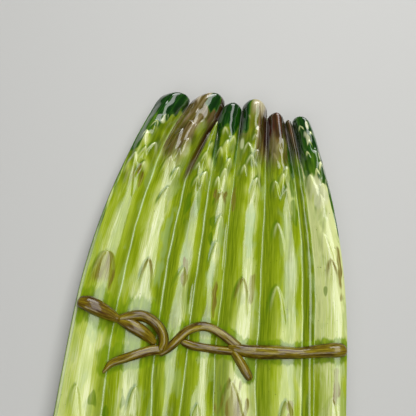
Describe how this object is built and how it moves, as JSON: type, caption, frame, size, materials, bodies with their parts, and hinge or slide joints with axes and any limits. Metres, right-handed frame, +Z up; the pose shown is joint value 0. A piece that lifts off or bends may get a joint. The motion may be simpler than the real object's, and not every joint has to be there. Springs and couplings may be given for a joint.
{
  "type": "asparagus plate",
  "caption": "Shallow glazed earthenware serving plate moulded as a tied bunch of asparagus, with a raised vine tie across the well and a foot ring underneath.",
  "frame": {"origin": "on the table plane, under the middle of the plate's outline", "axes": "+Y along the stalks towards the tips, +Z up out of the well, +X to the right with the tips pointing away"},
  "size_m": [0.19, 0.302, 0.0324],
  "materials": {
    "stalk_glaze": "gloss",
    "leaf_glaze": "gloss",
    "tie_glaze": "gloss",
    "body_glaze": "gloss",
    "bare_foot": "matte"
  },
  "bodies": {
    "root": {"plate_body": "body_glaze", "foot_ring": "bare_foot", "stalk_1": "stalk_glaze", "stalk_2": "stalk_glaze", "stalk_3": "stalk_glaze", "stalk_4": "stalk_glaze", "stalk_5": "stalk_glaze", "stalk_6": "stalk_glaze", "stalk_7": "stalk_glaze", "stalk_8": "stalk_glaze", "scale_leaves_1": "leaf_glaze", "scale_leaves_2": "leaf_glaze", "scale_leaves_3": "leaf_glaze", "scale_leaves_4": "leaf_glaze", "scale_leaves_5": "leaf_glaze", "scale_leaves_6": "leaf_glaze", "scale_leaves_8": "leaf_glaze", "tie_left_strand": "tie_glaze", "tie_inner_strand": "tie_glaze", "tie_hook": "tie_glaze", "tie_left_tail": "tie_glaze", "tie_arch": "tie_glaze", "tie_lower_strand": "tie_glaze", "tie_right_strand": "tie_glaze", "tie_right_tail": "tie_glaze"}
  },
  "joints": []
}
